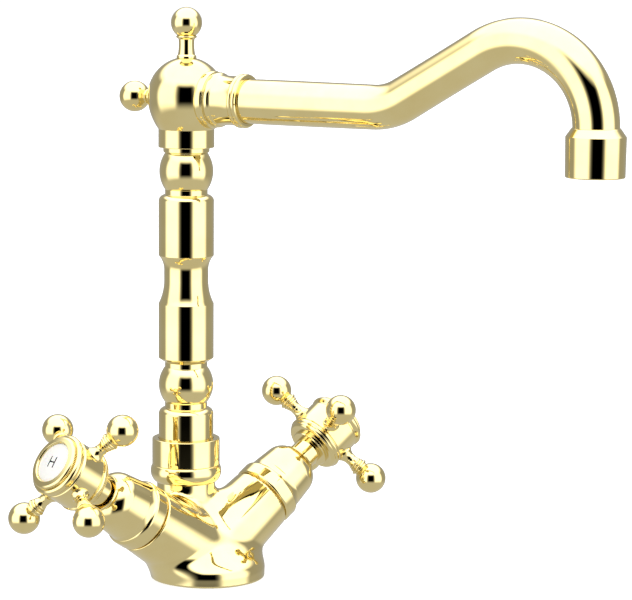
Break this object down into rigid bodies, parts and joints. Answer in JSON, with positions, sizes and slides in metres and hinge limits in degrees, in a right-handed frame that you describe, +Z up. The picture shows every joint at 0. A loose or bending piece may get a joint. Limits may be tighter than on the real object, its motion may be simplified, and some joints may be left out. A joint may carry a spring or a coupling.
{
  "type": "bathroom mixer faucet",
  "caption": "Traditional brass basin mixer tap with cross handles on angled valves, a turned column, a ball head and a swivelling swan-neck spout.",
  "frame": {"origin": "centre of the base's underside, where it rests on the basin or deck", "axes": "+Z up, -Y towards the user, -X towards the hot valve, +X towards the cold valve"},
  "size_m": [0.1916, 0.2442, 0.2639],
  "materials": {
    "polished_brass": "polished, lacquered",
    "raw_brass": "machined",
    "porcelain": "glazed white",
    "technical_ceramic": "lapped",
    "seal_rubber": "matt black",
    "slide_plastic": "matt",
    "aerator_plastic": "moulded",
    "stainless_steel": "turned"
  },
  "bodies": {
    "root": {"mixer_body": "polished_brass", "swivel_ring": "polished_brass", "column_collar_nut": "polished_brass", "swivel_washer": "slide_plastic", "base_gasket": "seal_rubber", "hot_cartridge": "raw_brass", "hot_seat_seal": "seal_rubber", "hot_fixed_disc": "technical_ceramic", "hot_bonnet": "polished_brass", "cold_cartridge": "raw_brass", "cold_seat_seal": "seal_rubber", "cold_fixed_disc": "technical_ceramic", "cold_bonnet": "polished_brass"},
    "spout": {"riser_column": "polished_brass", "column_seal_1": "seal_rubber", "column_seal_2": "seal_rubber", "ball_head": "polished_brass", "top_finial": "polished_brass", "rear_finial": "polished_brass", "spout_union": "polished_brass", "spout_flange_ring": "polished_brass", "spout_seal": "seal_rubber", "spout_tube": "polished_brass", "aerator_housing": "polished_brass", "aerator_insert": "aerator_plastic", "aerator_washer": "seal_rubber"},
    "hot_handle": {"hot_moving_disc": "technical_ceramic", "hot_spindle": "raw_brass", "hot_spindle_seal": "seal_rubber", "hot_stem_sleeve": "polished_brass", "hot_handle_hub": "polished_brass", "hot_spoke_1": "polished_brass", "hot_spoke_2": "polished_brass", "hot_spoke_3": "polished_brass", "hot_spoke_4": "polished_brass", "hot_handle_screw": "stainless_steel", "hot_bezel_ring": "polished_brass", "hot_index_disc": "porcelain"},
    "cold_handle": {"cold_moving_disc": "technical_ceramic", "cold_spindle": "raw_brass", "cold_spindle_seal": "seal_rubber", "cold_stem_sleeve": "polished_brass", "cold_handle_hub": "polished_brass", "cold_spoke_1": "polished_brass", "cold_spoke_2": "polished_brass", "cold_spoke_3": "polished_brass", "cold_spoke_4": "polished_brass", "cold_handle_screw": "stainless_steel", "cold_bezel_ring": "polished_brass", "cold_index_disc": "porcelain"}
  },
  "joints": [
    {"name": "spout_swivel", "type": "hinge", "parent": "root", "child": "spout", "pos_m": [0, 0.0165, 0], "axis": [0, 0, 1], "continuous": true},
    {"name": "hot_handle_turn", "type": "hinge", "parent": "root", "child": "hot_handle", "pos_m": [-0.07514, 0.0036, 0.05729], "axis": [-0.8377, 0, 0.5461], "range_deg": [0, 90]},
    {"name": "cold_handle_turn", "type": "hinge", "parent": "root", "child": "cold_handle", "pos_m": [0.07514, 0.0036, 0.05729], "axis": [-0.8377, 0, -0.5461], "range_deg": [0, 90]}
  ]
}
